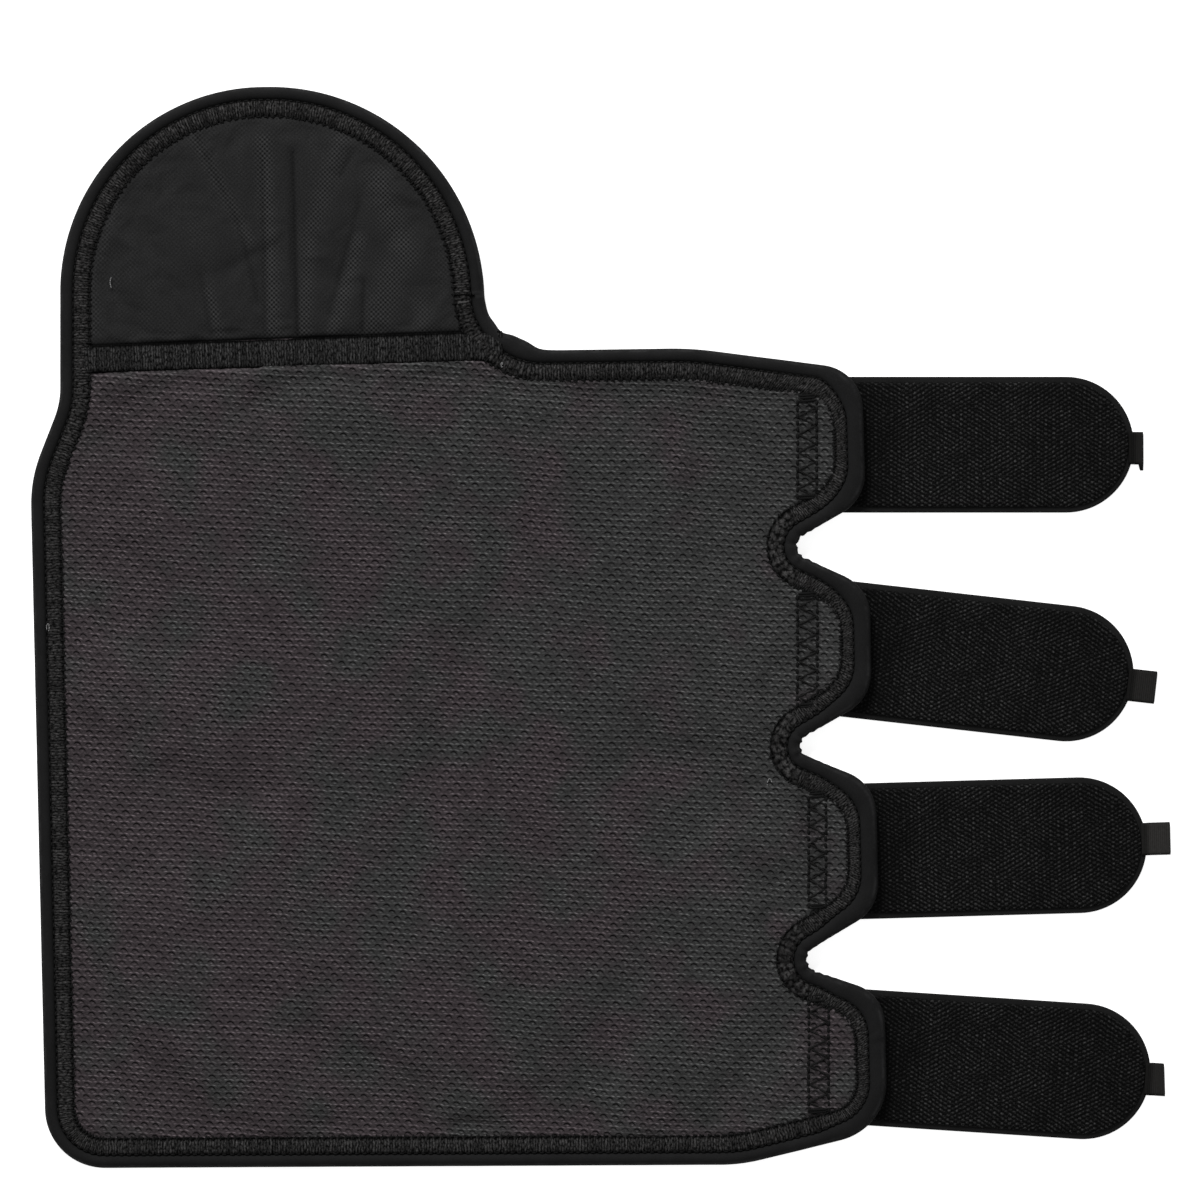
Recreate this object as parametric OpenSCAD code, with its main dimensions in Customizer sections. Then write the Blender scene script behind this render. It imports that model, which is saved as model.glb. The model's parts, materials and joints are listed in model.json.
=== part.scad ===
// Wrap-around padded limb guard with a folding dome flap and four hook straps.
// It lies flat with the lining side up. Units are millimetres.
// +X runs to the strap tips, +Y to the dome, and z = 0 is the resting underside.
// The origin is below section 3, half way up the main panel.

/* [Panel] */
// Distance from the panel's left end to the far tab end
panel_width = 315; // [280:1:350]
// Distance from the panel's lower edge to its upper edge
panel_height = 300; // [260:1:340]
// How far the left end leans in over the panel height
left_lean = 5.6; // [0:0.2:10]
// How far the lower edge slopes up at the last tab
corner_rise = 14.7; // [0:0.1:20]
// Roundness of the lower left corner
corner_r = 22; // [8:1:40]

/* [Dome] */
// Radius of the dome flap
dome_r = 76.8; // [60:0.2:95]
// Distance from the panel's left end to the dome's side
dome_inset = 10.7; // [5:0.1:20]
// Height of the dome's top above the panel's upper edge
dome_rise = 97; // [80:1:130]
// Tilt of the seam between the dome and the panel
seam_tilt = 2.1; // [0:0.1:5]
// Height of the tape that covers the seam
tape_height = 10; // [6:0.5:16]

/* [Tabs] */
// Depth of the first notch between the tabs
notch_depth = 31.9; // [15:0.1:40]
// Heights of the three notches above the origin
notch_y = [76.1, 2.2, -76.5];
// Roundness of the tab corners
tab_r = 16.5; // [8:0.5:25]
// Roundness at the bottom of a notch
notch_r = 4.8; // [2:0.2:10]

/* [Straps] */
// Width of the hook strap
strap_width = 50; // [38:1:60]
// Heights of the strap roots above the origin
strap_y = [113.6, 37.4, -35.8, -112.3];
// Angle of each strap to the X axis
strap_angle = [0, -6.4, 1.6, -3.7];
// Distance from the tab edge to each strap's tip
strap_length = [98.4, 96.5, 98.4, 96.8];
// Distance from the tab edge to the bend in each strap
bend_at = [59, 57.4, 56, 54];
// How far each ribbon stands out past the tip
ribbon_out = [3.7, 8.8, 8.6, 5.2];
// How far each ribbon is off its strap's middle
ribbon_shift = [-1.3, -1.5, 1.6, -1.2];
// Width of the ribbon pulls
ribbon_width = 12; // [8:0.5:16]
// Width of the plain border beside the hooks
hook_border = 2; // [1:0.5:5]

/* [Layers] */
// Whole thickness at the bound edge
thickness = 7.8; // [6:0.1:12]
// Thickness of the cover fabric and of the lower binding
cover_t = 0.9; // [0.5:0.1:2]
// Thickness of the upper binding and of the seam tape
trim_t = 0.75; // [0.4:0.05:1.5]
// Thickness of the foam behind the middle sections
foam_t = 3.05; // [1:0.05:5]
// Width of the bound and stitched edge
edge_width = 10.9; // [8:0.1:16]
// Thickness of the webbing behind the hooks
webbing_t = 1.2; // [0.8:0.1:2]
// Thickness of the hook tape
hook_t = 0.95; // [0.5:0.05:1.5]
// Gap between two layers
gap = 0.05; // [0.02:0.01:0.2]

/* [Hidden] */
$fn = 64;
left = -148.5;
right = left + panel_width;
y_low = -152.2;
y_high = y_low + panel_height;
y_top = y_high + dome_rise;
// the lines across the panel where it bends when it is wrapped
bends = [left + 60, left + 119, left + 184, left + 227, left + 270];
cut = 0.1;
far = 600;
dome_x0 = left + dome_inset;
dome_x1 = dome_x0 + 2 * dome_r;
neck_x = dome_x1 + 2.6;
// the seam passes through this point
seam_x = left + 90;
seam_y = y_high + 4.3;
low_right = y_low + corner_rise;
sheet_top = thickness - trim_t - gap;
foam_top = cover_t + gap + foam_t;
tab_lift = webbing_t + hook_t + 5 * gap;
// x of each tab's upper corner, x of its lower corner
tab_up = [right - 9.5, right - 6.6, right - 4.4, right - 1.4];
tab_low = [right - 8.1, right - 5.9, right - 3.3, right];
// x of the strap hinges, just past the furthest point of each tab
strap_x = [right - 8.2, right - 5.9, right - 3.4, right - 0.3];
// corners of the whole outline, each with its radius, clockwise
outline = [
    [dome_x0, y_top, dome_r - 1.6],
    [dome_x1, y_top, dome_r + 1.6],
    [neck_x, y_high, 21],
    [left + 242.3, y_high + 1.1, 120],
    [tab_up[0], y_high - 7, tab_r],
    [tab_low[0], notch_y[0] + 17.3, tab_r],
    [tab_low[0] - notch_depth + 0.9, notch_y[0] - 0.4, notch_r],
    [tab_up[1], notch_y[0] - 15.1, tab_r],
    [tab_low[1], notch_y[1] + 18.4, tab_r],
    [tab_low[1] - notch_depth + 0.3, notch_y[1], notch_r - 0.6],
    [tab_up[2], notch_y[1] - 13.2, tab_r],
    [tab_low[2], notch_y[2] + 19.9, tab_r],
    [tab_low[2] - notch_depth - 1.2, notch_y[2], notch_r],
    [tab_up[3], notch_y[2] - 11.7, tab_r - 1.5],
    [tab_low[3], low_right, tab_r + 5.5],
    [left + 260.6, y_low + 1.3, 60],
    [left + left_lean, y_low, corner_r],
    [left - 0.2, y_high - 47.1, 50],
    [dome_x0, y_high - 19.1, 30]
];

// ---- outline helpers ----

function unit(v) = v / norm(v);
function at(list, i) = list[(i + len(list)) % len(list)];
function xy(p) = [p[0], p[1]];
// direction of the side that leaves corner i
function side(list, i) = unit(xy(at(list, i + 1)) - xy(at(list, i)));
// signed turn at corner i, positive where a clockwise outline is convex
function turn(a, b) = atan2(a[1] * b[0] - a[0] * b[1], a[0] * b[0] + a[1] * b[1]);

// the same outline, moved inward by d
function inset(list, d) = [for (i = [0 : len(list) - 1])
    let (a = side(list, i - 1), b = side(list, i), t = turn(a, b),
        n = [a[1], -a[0]], h = tan(t / 2))
    concat(xy(list[i]) + d * (n - a * h),
        [t > 0 ? max(0.4, list[i][2] - d) : list[i][2] + d])];

// points of the rounded outline
function rounded(list) = [for (i = [0 : len(list) - 1])
    let (a = side(list, i - 1), b = side(list, i), t = turn(a, b), r = list[i][2],
        s = sign(t), p = xy(list[i]) - a * r * tan(abs(t) / 2),
        c = p + s * r * [a[1], -a[0]], steps = max(3, ceil(abs(t) / 7)))
    for (k = [0 : steps])
        let (w = -s * abs(t) * k / steps, v = p - c)
        c + [v[0] * cos(w) - v[1] * sin(w), v[0] * sin(w) + v[1] * cos(w)]];

module shape(d) {
    polygon(rounded(inset(outline, d)));
}

// ---- regions ----

// the part of the plan between two bend lines, i = 1 to 6
module strip(i) {
    x0 = i == 1 ? left - 50 : bends[i - 2] + cut;
    x1 = i == 6 ? right + 50 : bends[i - 1] - cut;
    translate([x0, -far])
        square([x1 - x0, 2 * far]);
}

// everything below a line parallel to the seam, moved up by dy
module below_seam(dy) {
    translate([seam_x, seam_y + dy])
        rotate(seam_tilt)
            translate([-far, -far])
                square([2 * far, far]);
}

module above_seam(dy) {
    translate([seam_x, seam_y + dy])
        rotate(seam_tilt)
            translate([-far, 0])
                square([2 * far, far]);
}

// main panel and dome in plan, cut to section i and inset by d
module main_plan(i, d) {
    intersection() {
        shape(d);
        strip(i);
        below_seam(-cut);
    }
}

module dome_plan(i, d) {
    intersection() {
        shape(d);
        strip(i);
        above_seam(cut);
    }
}

module layer(z0, z1) {
    translate([0, 0, z0])
        linear_extrude(z1 - z0)
            children();
}

function base(i) = i == 6 ? tab_lift : 0;

// ---- main panel ----

module sheet(i) {
    z0 = i == 1 ? cover_t + gap : i == 6 ? base(6) + cover_t + gap : foam_top + gap;
    color([0.20, 0.19, 0.19])
        layer(z0, sheet_top)
            main_plan(i, 1 + gap);
}

module foam(i) {
    color([0.32, 0.33, 0.35])
        layer(cover_t + gap, foam_top)
            main_plan(i, 1 + gap);
}

// outline of the loop panel, on section 1
module loop_plan(d) {
    intersection() {
        shape(edge_width + 2 + d);
        strip(1);
        translate([left + 15 + d, y_low + 20 + d])
            square([41 - 2 * d, 262 - 2 * d]);
    }
}

module cover(i) {
    color([0.11, 0.11, 0.12])
        layer(base(i), base(i) + cover_t)
            difference() {
                main_plan(i, edge_width + gap);
                if (i == 1)
                    loop_plan(-gap);
            }
}

// channel section that wraps the edge from below, round the side, to the top
module channel(z0) {
    layer(z0, z0 + cover_t)
        difference() {
            children(0);
            children(2);
        }
    layer(z0 + cover_t, sheet_top + gap)
        difference() {
            children(0);
            children(1);
        }
    layer(sheet_top + gap, thickness)
        difference() {
            children(0);
            children(2);
        }
}

module binding(i) {
    color([0.08, 0.08, 0.08])
        channel(base(i)) {
            main_plan(i, 0);
            shape(1);
            shape(edge_width);
        }
}

module dome_binding(i) {
    color([0.08, 0.08, 0.08])
        channel(0) {
            dome_plan(i, 0);
            shape(1);
            shape(edge_width);
        }
}

module loop_panel() {
    color([0.13, 0.13, 0.14])
        layer(0, cover_t)
            loop_plan(0);
}

module seam_tape(i) {
    color([0.12, 0.12, 0.12])
        layer(sheet_top + gap, thickness)
            difference() {
                main_plan(i, edge_width + gap);
                below_seam(-tape_height);
            }
}

// ---- dome ----

module dome_cover(i) {
    color([0.11, 0.11, 0.12])
        layer(0, cover_t)
            dome_plan(i, edge_width + gap);
}

module dome_pad(i) {
    color([0.30, 0.31, 0.33])
        layer(cover_t + gap, sheet_top - 0.8)
            dome_plan(i, 1 + gap);
}

module dome_lining(i) {
    color([0.15, 0.15, 0.15])
        layer(sheet_top - 0.75, sheet_top)
            dome_plan(i, 1 + gap);
}

// ---- straps ----

// places its children at the root of strap k, with x along the strap
module at_strap(k) {
    translate([strap_x[k], strap_y[k]])
        rotate(strap_angle[k])
            children();
}

// half plane past a line parallel to Y, at distance d from the tab edge
module past(k, d) {
    translate([strap_x[k] + d, -far])
        square([far, 2 * far]);
}

// strap in plan with its rounded tip, its border narrowed by d
module strap_plan(k, d) {
    r = strap_width / 2 - d;
    tip = strap_length[k] - strap_width / 2;
    at_strap(k)
        union() {
            translate([-30, -r])
                square([30 + tip, 2 * r]);
            translate([tip, 0])
                circle(r);
        }
}

module strap_inner(k, d) {
    difference() {
        strap_plan(k, d);
        past(k, bend_at[k] - cut);
        translate([strap_x[k] + cut - far, -far])
            square([far, 2 * far]);
    }
}

module strap_outer(k, d) {
    intersection() {
        strap_plan(k, d);
        past(k, bend_at[k] + cut);
    }
}

module webbing_a(k) {
    color([0.07, 0.07, 0.07])
        layer(0, webbing_t)
            strap_inner(k, 0);
}

module webbing_b(k) {
    color([0.07, 0.07, 0.07])
        layer(0, webbing_t)
            strap_outer(k, 0);
}

module hooks_a(k) {
    color([0.05, 0.05, 0.05])
        layer(webbing_t + gap, webbing_t + gap + hook_t)
            strap_inner(k, hook_border);
}

module hooks_b(k) {
    color([0.05, 0.05, 0.05])
        layer(webbing_t + gap, webbing_t + gap + hook_t)
            strap_outer(k, hook_border);
}

// folded ribbon: the upper ply lies on the hooks and the lower ply ends at the tip
module pull(k) {
    top = webbing_t + hook_t + 2 * gap;
    tip = strap_length[k];
    end = tip + ribbon_out[k];
    ply = 0.55;
    r = top / 2 + ply / 2 - 0.1;
    color([0.15, 0.15, 0.15])
        translate([strap_x[k], strap_y[k], 0])
            rotate(strap_angle[k])
                translate([0, ribbon_width / 2 + ribbon_shift[k], 0])
                    rotate([90, 0, 0])
                        linear_extrude(ribbon_width)
                            union() {
                                translate([tip - 3, top])
                                    square([end - r - tip + 3, ply]);
                                translate([tip + 0.15, top + ply - 2 * r])
                                    square([end - r - tip - 0.15, ply]);
                                translate([end - r, top + ply - r])
                                    difference() {
                                        circle(r);
                                        circle(r - ply);
                                        translate([-2 * r, -2 * r])
                                            square([2 * r, 4 * r]);
                                    }
                            }
}

// ---- tabs ----

// bars of zigzag stitching that hold the strap roots
module anchor_stitching() {
    x0 = [left + 281.2, left + 281.2, left + 285.3, left + 285.3];
    w = [7, 7.3, 6.3, 7.3];
    y0 = [93.4, 17.4, -56.4, -130.2];
    h = [37.5, 41.2, 42.4, 41.8];
    color([0.16, 0.16, 0.16])
        for (k = [0 : 3])
            layer(sheet_top + gap, sheet_top + gap + 0.4)
                intersection() {
                    shape(edge_width + gap);
                    translate([x0[k], y0[k]])
                        square([w[k], h[k]]);
                }
}

// ends of the straps, sewn below the tabs
module strap_roots() {
    color([0.07, 0.07, 0.07])
        for (k = [0 : 3])
            layer(0, webbing_t + gap + hook_t)
                difference() {
                    strap_plan(k, 0);
                    past(k, -cut);
                }
}

// ---- one module for each sub-part ----

module sheet_1() { sheet(1); }
module sheet_2() { sheet(2); }
module sheet_3() { sheet(3); }
module sheet_4() { sheet(4); }
module sheet_5() { sheet(5); }
module sheet_6() { sheet(6); }
module cover_1() { cover(1); }
module cover_2() { cover(2); }
module cover_3() { cover(3); }
module cover_4() { cover(4); }
module cover_5() { cover(5); }
module cover_6() { cover(6); }
module binding_1() { binding(1); }
module binding_2() { binding(2); }
module binding_3() { binding(3); }
module binding_4() { binding(4); }
module binding_5() { binding(5); }
module binding_6() { binding(6); }
module foam_2() { foam(2); }
module foam_3() { foam(3); }
module foam_4() { foam(4); }
module foam_5() { foam(5); }
module seam_tape_1() { seam_tape(1); }
module seam_tape_2() { seam_tape(2); }
module seam_tape_3() { seam_tape(3); }
module dome_lining_1() { dome_lining(1); }
module dome_lining_2() { dome_lining(2); }
module dome_lining_3() { dome_lining(3); }
module dome_pad_1() { dome_pad(1); }
module dome_pad_2() { dome_pad(2); }
module dome_pad_3() { dome_pad(3); }
module dome_cover_1() { dome_cover(1); }
module dome_cover_2() { dome_cover(2); }
module dome_cover_3() { dome_cover(3); }
module dome_binding_1() { dome_binding(1); }
module dome_binding_2() { dome_binding(2); }
module dome_binding_3() { dome_binding(3); }
module webbing_1a() { webbing_a(0); }
module webbing_2a() { webbing_a(1); }
module webbing_3a() { webbing_a(2); }
module webbing_4a() { webbing_a(3); }
module webbing_1b() { webbing_b(0); }
module webbing_2b() { webbing_b(1); }
module webbing_3b() { webbing_b(2); }
module webbing_4b() { webbing_b(3); }
module hooks_1a() { hooks_a(0); }
module hooks_2a() { hooks_a(1); }
module hooks_3a() { hooks_a(2); }
module hooks_4a() { hooks_a(3); }
module hooks_1b() { hooks_b(0); }
module hooks_2b() { hooks_b(1); }
module hooks_3b() { hooks_b(2); }
module hooks_4b() { hooks_b(3); }
module pull_1() { pull(0); }
module pull_2() { pull(1); }
module pull_3() { pull(2); }
module pull_4() { pull(3); }

// ---- what is drawn ----

sheet_1();
sheet_2();
sheet_3();
sheet_4();
sheet_5();
sheet_6();
cover_1();
cover_2();
cover_3();
cover_4();
cover_5();
cover_6();
binding_1();
binding_2();
binding_3();
binding_4();
binding_5();
binding_6();
foam_2();
foam_3();
foam_4();
foam_5();
loop_panel();
seam_tape_1();
seam_tape_2();
seam_tape_3();
dome_lining_1();
dome_lining_2();
dome_lining_3();
dome_pad_1();
dome_pad_2();
dome_pad_3();
dome_cover_1();
dome_cover_2();
dome_cover_3();
dome_binding_1();
dome_binding_2();
dome_binding_3();
anchor_stitching();
strap_roots();
webbing_1a();
webbing_2a();
webbing_3a();
webbing_4a();
webbing_1b();
webbing_2b();
webbing_3b();
webbing_4b();
hooks_1a();
hooks_2a();
hooks_3a();
hooks_4a();
hooks_1b();
hooks_2b();
hooks_3b();
hooks_4b();
pull_1();
pull_2();
pull_3();
pull_4();
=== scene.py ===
import json
import math
import random
from collections import namedtuple
import bpy
import bmesh
import numpy as np
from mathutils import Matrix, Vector, geometry, kdtree
from mathutils.bvhtree import BVHTree


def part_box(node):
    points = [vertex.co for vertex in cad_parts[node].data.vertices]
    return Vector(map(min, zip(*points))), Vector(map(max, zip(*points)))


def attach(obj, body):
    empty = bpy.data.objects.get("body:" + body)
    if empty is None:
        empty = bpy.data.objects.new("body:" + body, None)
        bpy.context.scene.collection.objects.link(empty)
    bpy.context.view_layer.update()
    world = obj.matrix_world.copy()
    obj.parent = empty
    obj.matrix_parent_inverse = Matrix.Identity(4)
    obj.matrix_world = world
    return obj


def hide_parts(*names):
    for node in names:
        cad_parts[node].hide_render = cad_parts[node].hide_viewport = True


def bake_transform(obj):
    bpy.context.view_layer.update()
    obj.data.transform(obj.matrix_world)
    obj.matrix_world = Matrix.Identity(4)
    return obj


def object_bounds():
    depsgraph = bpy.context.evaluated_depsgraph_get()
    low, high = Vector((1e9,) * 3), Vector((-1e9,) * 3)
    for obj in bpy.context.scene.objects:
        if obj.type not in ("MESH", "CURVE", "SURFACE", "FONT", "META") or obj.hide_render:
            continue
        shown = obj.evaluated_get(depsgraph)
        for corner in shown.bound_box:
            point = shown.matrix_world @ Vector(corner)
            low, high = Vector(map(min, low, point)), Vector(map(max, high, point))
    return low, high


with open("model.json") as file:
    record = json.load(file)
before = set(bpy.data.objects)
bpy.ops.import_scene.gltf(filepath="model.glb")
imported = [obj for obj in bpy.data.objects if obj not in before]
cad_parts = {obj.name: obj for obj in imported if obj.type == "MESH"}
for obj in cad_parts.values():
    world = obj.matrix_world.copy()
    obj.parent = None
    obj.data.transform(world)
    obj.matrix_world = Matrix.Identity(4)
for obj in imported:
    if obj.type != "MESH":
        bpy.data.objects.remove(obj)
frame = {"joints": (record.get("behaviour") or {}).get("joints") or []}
cad_lo, cad_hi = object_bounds()
scene = bpy.context.scene
MM = 0.001
random.seed(7)


# -------- places, all from the CAD frame, in millimetres

def box(node):
    lo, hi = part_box(node)
    return np.array(lo) * 1000, np.array(hi) * 1000


joints = {j["name"]: j for j in frame["joints"]}
L, B, T = cad_lo.x * 1000, cad_lo.y * 1000, cad_hi.y * 1000
R = box("binding_6")[1][0]
HIGH = box("binding_5")[1][1] - 1.0        # the main panel's upper edge
TOP = box("binding_1")[1][2]               # whole thickness at the bound edge
LIFT = box("binding_6")[0][2]              # how far the tabs lie above the straps
EDGE = 10.9                                # width of the bound and stitched edge
STITCH = 2.7                               # pitch of the edge's stitches
LINING_LOW, PAD_TOP, PAD_LOW, COVER_TOP = 4.1, 3.95, 1.05, 0.95
TAPE_LOW = -9.9                            # the seam tape's lower edge, measured from the seam
# the zigzag bars that hold the straps: left edge, width, lower end, upper end
BARS = [(L + 281.2, 7.0, 93.4, 131.5), (L + 281.2, 7.3, 17.0, 59.0),
        (L + 285.3, 6.3, -56.6, -13.5), (L + 285.3, 7.3, -131.5, -88.2)]
SEAM = np.array([L + 90, HIGH + 4.3])      # a point of the seam between the panel and the dome
TILT = math.radians(2.1)                   # and the seam's slope
ALONG = np.array([math.cos(TILT), math.sin(TILT)])
UP = np.array([-math.sin(TILT), math.cos(TILT)])
DX0, DX1 = L + 10.7, L + 164.3             # the dome's two sides

# corners of the flat outline, each with the radius that rounds it
OUTLINE = [
    (DX0, T, 75.2), (DX1, T, 78.4), (DX1 + 2.6, HIGH, 21),
    (L + 242.3, HIGH + 1.1, 120),
    (R - 9.5, HIGH - 7, 16.5), (R - 8.1, 93.4, 16.5), (R - 39.1, 75.7, 4.8),
    (R - 6.6, 61.0, 16.5), (R - 5.9, 20.6, 16.5), (R - 37.5, 2.2, 4.2),
    (R - 4.4, -11.0, 16.5), (R - 3.3, -56.6, 16.5), (R - 36.4, -76.5, 4.8),
    (R - 1.4, -88.2, 15), (R, B + 14.7, 22),
    (L + 260.6, B + 1.3, 60), (L + 5.6, B, 22), (L - 0.2, HIGH - 47.1, 50), (DX0, HIGH - 19.1, 30)]


# -------- rounded outlines

class Outline:
    """A closed outline of corners, each rounded by its own radius, sampled the same way at every inset."""

    TURN = 0.12            # greatest turn between two points of an arc
    TIGHT = 20             # corners tighter than this stay rounder further in
    LEAST = 0.4            # least radius

    def __init__(self, corners, step=1.6):
        self.c = [np.array(c[:2], float) for c in corners]
        self.r = [float(c[2]) for c in corners]
        n = len(self.c)
        self.dir = [self.c[(i + 1) % n] - self.c[i] for i in range(n)]
        self.dir = [d / np.linalg.norm(d) for d in self.dir]
        self.turn = []
        for i in range(n):
            a, b = self.dir[i - 1], self.dir[i]
            self.turn.append(math.atan2(a[1] * b[0] - a[0] * b[1], a @ b))
        self.arc_n = [max(3, math.ceil(abs(t) * r / step), math.ceil(abs(t) / self.TURN))
                      for t, r in zip(self.turn, self.r)]
        _, ends = self._arcs(0)
        gaps = [np.linalg.norm(ends[(i + 1) % n][0] - ends[i][1]) for i in range(n)]
        self.side_n = [max(1, round(gap / step)) for gap in gaps]
        self.s = run(self.ring(0))

    def _arcs(self, d):
        arcs, ends = [], []
        for i, (c, r) in enumerate(zip(self.c, self.r)):
            a, t = self.dir[i - 1], self.turn[i]
            s = 1 if t > 0 else -1
            n = np.array([a[1], -a[0]])
            c = c + d * (n - a * math.tan(t / 2))
            r = max(self.LEAST, r - (0.15 if r < self.TIGHT else 1) * d) if t > 0 else r + d
            p = c - a * r * math.tan(abs(t) / 2)
            m = p + s * r * n
            w = -t * np.arange(self.arc_n[i] + 1) / self.arc_n[i]
            v = p - m
            q = m + np.stack([v[0] * np.cos(w) - v[1] * np.sin(w), v[0] * np.sin(w) + v[1] * np.cos(w)], 1)
            arcs.append(q)
            ends.append((q[0], q[-1]))
        return arcs, ends

    def ring(self, d):
        """Points of the outline moved inward by d. The last point repeats the first."""
        arcs, ends = self._arcs(d)
        out = []
        n = len(arcs)
        for i in range(n):
            out.append(arcs[i])
            a, b = ends[i][1], ends[(i + 1) % n][0]
            k = np.arange(1, self.side_n[i]) / self.side_n[i]
            out.append(a + (b - a) * k[:, None])
        out.append(arcs[0][:1])
        return np.concatenate(out)

    def inward(self):
        """How a point of the outline moves for each millimetre of inset."""
        return (self.ring(EDGE) - self.ring(0)) / EDGE


def run(p):
    """Length along a line of points, at each of them."""
    return np.concatenate([[0], np.cumsum(np.linalg.norm(np.diff(p, axis=0), axis=1))])


def smooth(a, b, x):
    t = np.clip((x - a) / (b - a), 0, 1)
    return t * t * (3 - 2 * t)


def bell(x, w):
    return np.exp(-(x / w) ** 2)


def near(p, place, w):
    """1 at a place, falling off over the distance w."""
    return bell(np.linalg.norm(p - place, axis=-1), w)


def ripple(x, y, size, seed):
    """Smooth random height, about -1 to 1, with features of this size in millimetres."""
    r = np.random.default_rng(seed)
    z = 0
    for _ in range(7):
        a, f, p = r.uniform(0, math.tau), r.uniform(0.6, 1.4) / size, r.uniform(0, math.tau)
        z = z + np.sin(math.tau * f * (x * math.cos(a) + y * math.sin(a)) + p)
    return z / 3.2


def above_seam(x, y):
    """Distance above the seam between the panel and the dome."""
    return (x - SEAM[0]) * UP[0] + (y - SEAM[1]) * UP[1]


def place_z(x, z):
    """Height in the panel, thinned on the tabs, which lie on the strap roots."""
    return TOP - (TOP - z) * (1 - LIFT / TOP * smooth(R - 52, R - 34, x))


def broad(x, d):
    """How far the groove inside the rolled edge moves in on the tabs, where the roll is broader."""
    return 1.6 * smooth(R - 27, R - 15, x) * np.clip(np.minimum(d / 4.7, (EDGE - d) / 6.2), 0, 1)


# -------- mesh helpers

def make_mesh(name, verts, faces, **attrs):
    me = bpy.data.meshes.new(name)
    v = np.asarray(verts, float)
    me.from_pydata((v * MM).tolist(), [], [tuple(map(int, f)) for f in faces])
    for key, a in {"rest": v, **attrs}.items():
        a = np.asarray(a, np.float32)
        kind, field = ("FLOAT_VECTOR", "vector") if a.ndim == 2 else ("FLOAT", "value")
        me.attributes.new(key, kind, "POINT").data.foreach_set(field, a.ravel())
    for p in me.polygons:
        p.use_smooth = True
    me.validate()
    return me


def quads(rows, cols, base=0, closed=True):
    """Faces of a grid of points. A closed grid joins each row's last point to its first."""
    return [(base + i * cols + j, base + i * cols + (j + 1) % cols,
             base + (i + 1) * cols + (j + 1) % cols, base + (i + 1) * cols + j)
            for i in range(rows - 1) for j in range(cols if closed else cols - 1)]


def caps(rows, cols, base=0):
    """The two end faces of a closed grid."""
    last = base + (rows - 1) * cols
    return [tuple(base + j for j in range(cols))[::-1], tuple(last + j for j in range(cols))]


def band(outline, profile, moved=None, closed=True):
    """A strip that follows an outline. profile is a list of (inset, height)."""
    rings = []
    for d, z in profile:
        p = outline.ring(d)
        rings.append(np.concatenate([p, np.full((len(p), 1), z)], 1))
    n, m = len(rings[0]), len(rings)
    v = np.stack(rings, 1)
    d = np.array([p[0] for p in profile])[None]
    v[..., :2] += outline.inward()[:, None] * broad(v[..., 0], d)[..., None]
    st = np.stack([np.repeat(outline.s[:, None], m, 1), np.repeat(d, n, 0), np.zeros((n, m))], 2)
    if moved:
        v = moved(v, st)
    return v.reshape(-1, 3), quads(n, m, closed=closed), st.reshape(-1, 3)


def fill(loop, spacing, fine=None):
    """Triangles inside a closed loop, with points inside it on a grid. The loop's points come first.
    fine is (spacing, test) where a closer grid is wanted."""
    loop = np.asarray(loop)
    if np.linalg.norm(loop[0] - loop[-1]) < 1e-6:
        loop = loop[:-1]
    lo, hi = loop.min(0), loop.max(0)

    def grid(step):
        xs = np.arange(lo[0] + step / 2, hi[0], step)
        ys = np.arange(lo[1] + step / 2, hi[1], step * 0.866)
        gx, gy = np.meshgrid(xs, ys)
        gx[1::2] += step / 2
        return np.stack([gx.ravel(), gy.ravel()], 1)

    g = grid(spacing)
    if fine:
        f = grid(fine[0])
        g = np.concatenate([g[~fine[1](g)], f[fine[1](f)]])
    inside = np.zeros(len(g), bool)
    for (x0, y0), (x1, y1) in zip(loop, np.roll(loop, -1, 0)):
        if y0 != y1:
            cross = (g[:, 1] > min(y0, y1)) & (g[:, 1] <= max(y0, y1))
            xi = x0 + (g[:, 1] - y0) / (y1 - y0) * (x1 - x0)
            inside ^= cross & (g[:, 0] < xi)
    g = g[inside]
    g = g[distance(tree_of(loop), *g.T) > (fine[0] if fine else spacing) * 0.45]
    n = len(loop)
    edges = [(i, (i + 1) % n) for i in range(n)]
    points = [Vector(p) for p in np.concatenate([loop, g])]
    v, _, f, _, _, _ = geometry.delaunay_2d_cdt(points, edges, [], 1, 1e-5)
    return np.array([list(p) for p in v]), [tuple(t) for t in f]


def tree_of(points):
    tree = kdtree.KDTree(len(points))
    for i, p in enumerate(points):
        tree.insert((p[0], p[1], 0), i)
    tree.balance()
    return tree


def distance(tree, x, y):
    return np.array([tree.find((a, b, 0))[2] for a, b in zip(x, y)])


def slab(outline, profile, spacing, top, bottom, moved=None, coarse=None, fine=None):
    """A closed soft sheet. profile runs from the top's rim, out round the side, to the bottom's rim."""
    v, faces, st = band(outline, profile, moved, closed=False)
    m = len(profile)
    verts = [v]
    base = len(v)
    for side, j, height, step in (("top", 0, top, spacing), ("bottom", m - 1, bottom, coarse or spacing)):
        ring = v.reshape(-1, m, 3)[:, j]
        p, f = fill(ring[:, :2], step, fine if side == "top" else None)
        n = len(ring) - 1
        z = height(p[:, 0], p[:, 1])
        z[:n] = ring[:n, 2]
        verts.append(np.concatenate([p, z[:, None]], 1))
        for t in f:
            t = [q + base for q in t]
            faces.append(t if side == "top" else t[::-1])
        base += len(p)
        st = np.concatenate([st, np.concatenate([p, np.zeros((len(p), 1))], 1)])
    return np.concatenate(verts), faces, st


def weld(me, dist=0.00002):
    bm = bmesh.new()
    bm.from_mesh(me)
    bmesh.ops.remove_doubles(bm, verts=bm.verts, dist=dist)
    bmesh.ops.recalc_face_normals(bm, faces=bm.faces)
    bm.to_mesh(me)
    bm.free()
    return me


CLOSE = 0.000001           # weld distance for meshes with finer detail


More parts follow.
